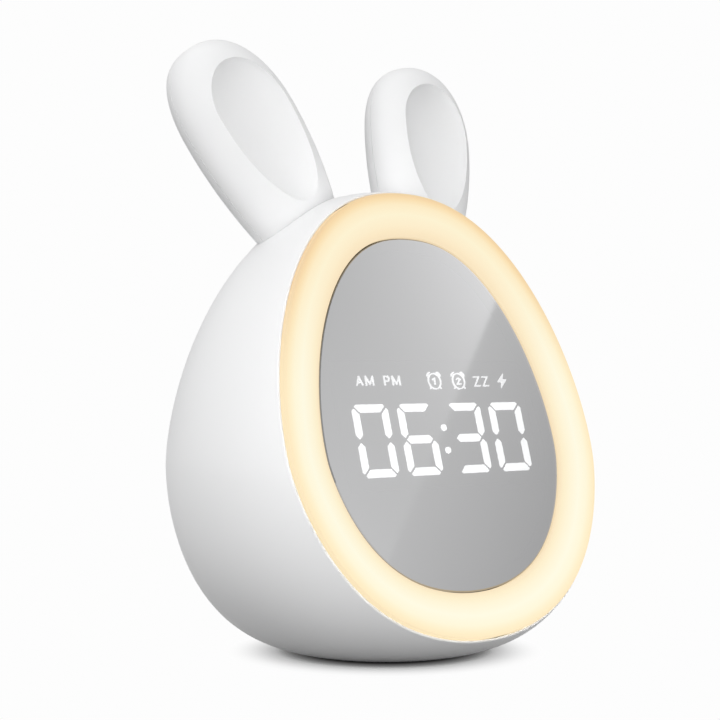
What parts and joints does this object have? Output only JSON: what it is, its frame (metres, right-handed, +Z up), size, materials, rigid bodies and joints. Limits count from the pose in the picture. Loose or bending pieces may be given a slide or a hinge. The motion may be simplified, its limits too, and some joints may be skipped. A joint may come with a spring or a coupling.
{
  "type": "bedside alarm clock with night light",
  "caption": "Egg-shaped bedside clock with rabbit ears, a leaning half-mirror display face and a lit ring round it.",
  "frame": {"origin": "centre of the rubber pad's underside, on the table", "axes": "+Z up, the face looks toward -Y and leans back, +X to the right of someone who looks along +Y at the face"},
  "size_m": [0.105, 0.0817, 0.1471],
  "materials": {
    "shell": "fine matte white ABS",
    "key": "matte white",
    "rubber": "matte dark grey",
    "frame": "moulded white",
    "ring_glow": "milky diffuser, lit warm white",
    "half_mirror": "half-silvered acrylic",
    "black": "matte",
    "white_board": "white solder mask",
    "green_board": "green solder mask",
    "warm_lamp": "phosphor",
    "cool_lamp": "phosphor",
    "white_glow": "lit white resin",
    "dark_resin": "unlit resin",
    "chip": "epoxy",
    "screw": "zinc plated",
    "switch_metal": "stamped",
    "socket_metal": "stamped",
    "basket": "black",
    "cone": "coated paper",
    "magnet": "nickel plated",
    "foam": "closed-cell foam",
    "cell": "shrink sleeve",
    "tray": "moulded grey",
    "lead": "PVC insulation",
    "ribbon": "flat PVC cable"
  },
  "bodies": {
    "clock": {"body_shell": "shell", "rear_cover": "shell", "base_pad": "rubber", "light_ring": "ring_glow", "front_frame": "frame", "mirror_lens": "half_mirror", "mirror_tape": "black", "ring_board": "white_board", "ring_lamps": "warm_lamp", "frame_screws": "screw", "light_block": "black", "lit_segments": "white_glow", "dark_segments": "dark_resin", "status_icons": "white_glow", "display_board": "green_board", "display_lamps": "cool_lamp", "display_chips": "chip", "display_screws": "screw", "left_ear_front": "shell", "left_ear_rear": "shell", "right_ear_front": "shell", "right_ear_rear": "shell", "ear_screws": "screw", "cover_screws": "screw", "main_board": "green_board", "main_chips": "chip", "board_screws": "screw", "key_switches": "switch_metal", "usb_socket": "socket_metal", "usb_tongue": "chip", "speaker_basket": "basket", "speaker_cone": "cone", "speaker_magnet": "magnet", "speaker_gasket": "foam", "battery_cell": "cell", "battery_tray": "tray", "tray_screws": "screw", "battery_leads": "lead", "speaker_leads": "lead", "ribbon_cable": "ribbon"},
    "set_button": {"set_key": "key", "set_plunger": "chip"},
    "alarm_button": {"alarm_key": "key", "alarm_plunger": "chip"},
    "light_button": {"light_key": "key", "light_plunger": "chip"},
    "minus_button": {"minus_key": "key", "minus_plunger": "chip"},
    "plus_button": {"plus_key": "key", "plus_plunger": "chip"}
  },
  "joints": [
    {"name": "set_press", "type": "slide", "parent": "clock", "child": "set_button", "axis": [0, -1, 0], "range_m": [0, 0.0004], "stiffness_N_per_m": 2500},
    {"name": "alarm_press", "type": "slide", "parent": "clock", "child": "alarm_button", "axis": [0, -1, 0], "range_m": [0, 0.0004], "stiffness_N_per_m": 2500},
    {"name": "light_press", "type": "slide", "parent": "clock", "child": "light_button", "axis": [0, -1, 0], "range_m": [0, 0.0004], "stiffness_N_per_m": 2500},
    {"name": "minus_press", "type": "slide", "parent": "clock", "child": "minus_button", "axis": [0, -1, 0], "range_m": [0, 0.0004], "stiffness_N_per_m": 2500},
    {"name": "plus_press", "type": "slide", "parent": "clock", "child": "plus_button", "axis": [0, -1, 0], "range_m": [0, 0.0004], "stiffness_N_per_m": 2500}
  ]
}
